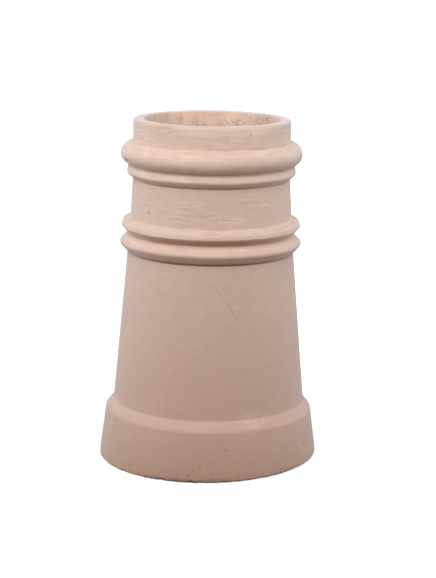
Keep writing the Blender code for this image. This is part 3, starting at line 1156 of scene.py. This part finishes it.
class CHIMNEYPOT_OT_build_pot(bpy.types.Operator):
    """Model the pot from its section, with its wear, and finish it in slip"""

    bl_idname = "chimneypot.build_pot"
    bl_label = "Build the pot"
    bl_options = {"REGISTER", "UNDO"}

    def execute(self, context):
        sizes = context.scene.pot_sizes
        wear = context.scene.pot_wear
        finish = context.scene.pot_finish
        section = PotSection(sizes)
        draw_section(section, context.scene.pot_mesh)
        pot = turn_section(context.scene.pot_mesh)
        pot.name = "chimney_pot_clay"
        tip_and_cut(pot, sizes)
        shift = centre_on_frame(pot)
        round_foot(pot, sizes, wear, shift)
        roughen(pot, section, wear, shift)
        pot.data.materials.append(brushed_slip(section, finish, shift))
        chip_foot(pot, section, wear, shift)
        pot.data.materials[1] = broken_clay(finish)
        make_active(pot)
        bpy.ops.object.shade_smooth_by_angle(angle=SMOOTH_UNDER)
        pot.vertex_groups.clear()
        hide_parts("chimney_pot")
        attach(pot, "root")
        return {"FINISHED"}


class CHIMNEYPOT_OT_build_stage(bpy.types.Operator):
    """Set up the pale floor, the soft light and the camera"""

    bl_idname = "chimneypot.build_stage"
    bl_label = "Build the stage"
    bl_options = {"REGISTER", "UNDO"}

    def execute(self, context):
        look = context.scene.stage_look
        clear_selection()
        bpy.ops.mesh.primitive_circle_add(vertices=96, radius=look.floor_radius, fill_type="NGON")
        floor = context.object
        floor.name = "pale_floor"
        floor.visible_diffuse = False
        floor.visible_glossy = False
        floor.visible_shadow = False
        material = bpy.data.materials.new("pale_floor")
        material.use_nodes = True
        shader = material.node_tree.nodes["Principled BSDF"]
        shader.inputs["Base Color"].default_value = (*look.floor_tone, 1)
        shader.inputs["Roughness"].default_value = 0.9
        shader.inputs["Specular IOR Level"].default_value = 0.1
        shader.inputs["Emission Color"].default_value = (1, 1, 1, 1)
        shader.inputs["Emission Strength"].default_value = look.floor_glow
        floor.data.materials.append(material)
        self.light_all_round(context, look)

        bpy.ops.object.light_add(type="AREA", location=KEY_PLACE)
        key = context.object
        key.name = "soft_key"
        key.data.shape = "DISK"
        key.data.size = KEY_SIZE
        key.data.energy = look.key_power
        key.rotation_euler = (KEY_AIM - key.location).to_track_quat("-Z", "Y").to_euler()

        eye = Vector((0, -look.eye_distance, look.eye_height))
        aim = Vector((look.aim_right, 0, look.aim_height))
        bpy.ops.object.camera_add(location=eye)
        camera = context.object
        camera.name = "front_camera"
        camera.data.lens = look.lens
        camera.data.sensor_width = 36
        camera.data.clip_end = 200
        camera.rotation_euler = (aim - eye).to_track_quat("-Z", "Y").to_euler()
        camera.rotation_euler.rotate_axis("Z", look.roll)
        context.scene.camera = camera
        context.scene.view_settings.view_transform = "Standard"
        return {"FINISHED"}

    def light_all_round(self, context, look):
        """Soft light from the sides, the back and the front, weak from below, and a plain backdrop."""
        world = bpy.data.worlds.new("soft_light")
        context.scene.world = world
        world.use_nodes = True
        graph = Graph(world.node_tree)
        x, y, z = graph.split(graph.node("ShaderNodeTexCoord", {}, {}, "Generated"))
        behind = graph.maths("MAXIMUM", y, 0)
        before = graph.maths("MAXIMUM", 0 - y, 0)
        leftwards = graph.maths("MAXIMUM", 0 - x, 0)
        light = x * x * look.sides + behind * look.back + z * look.above
        light = light + before * z * look.front + leftwards * look.left
        below = graph.faded(z, -0.30, -0.55)
        low_light = below * (look.under - look.grazing) + look.grazing
        light = light + graph.faded(z, 0.01, -0.07) * (low_light - light)
        seen = graph.node("ShaderNodeLightPath", {}, {}, "Is Camera Ray")
        light = light + seen * (look.backdrop - light)
        background = world.node_tree.nodes["Background"]
        graph.feed(background.inputs["Strength"], light)
        background.inputs["Color"].default_value = (1, 1, 1, 1)


class CHIMNEYPOT_PT_panel(bpy.types.Panel):
    """Sizes, wear, finish and stage of the chimney pot"""

    bl_idname = "CHIMNEYPOT_PT_panel"
    bl_label = "Chimney pot"
    bl_space_type = "VIEW_3D"
    bl_region_type = "UI"
    bl_category = "Chimney pot"

    def draw(self, context):
        layout = self.layout
        layout.operator(CHIMNEYPOT_OT_build_pot.bl_idname)
        layout.operator(CHIMNEYPOT_OT_build_stage.bl_idname)
        for title, group in PROPERTY_GROUPS.items():
            box = layout.box()
            box.label(text=group.__doc__)
            for name in group.__annotations__:
                box.prop(getattr(context.scene, title), name)


PROPERTY_GROUPS = {
    "pot_sizes": PotSizes,
    "pot_mesh": PotMesh,
    "pot_wear": PotWear,
    "pot_finish": PotFinish,
    "stage_look": StageLook,
}
CLASSES = (*PROPERTY_GROUPS.values(), CHIMNEYPOT_OT_build_pot, CHIMNEYPOT_OT_build_stage, CHIMNEYPOT_PT_panel)


def register():
    for new_class in CLASSES:
        bpy.utils.register_class(new_class)
    for name, group in PROPERTY_GROUPS.items():
        setattr(bpy.types.Scene, name, bpy.props.PointerProperty(type=group))


def unregister():
    for name in PROPERTY_GROUPS:
        delattr(bpy.types.Scene, name)
    for old_class in reversed(CLASSES):
        bpy.utils.unregister_class(old_class)


def main():
    register()
    bpy.ops.chimneypot.build_pot()
    bpy.ops.chimneypot.build_stage()


if __name__ == "__main__":
    main()
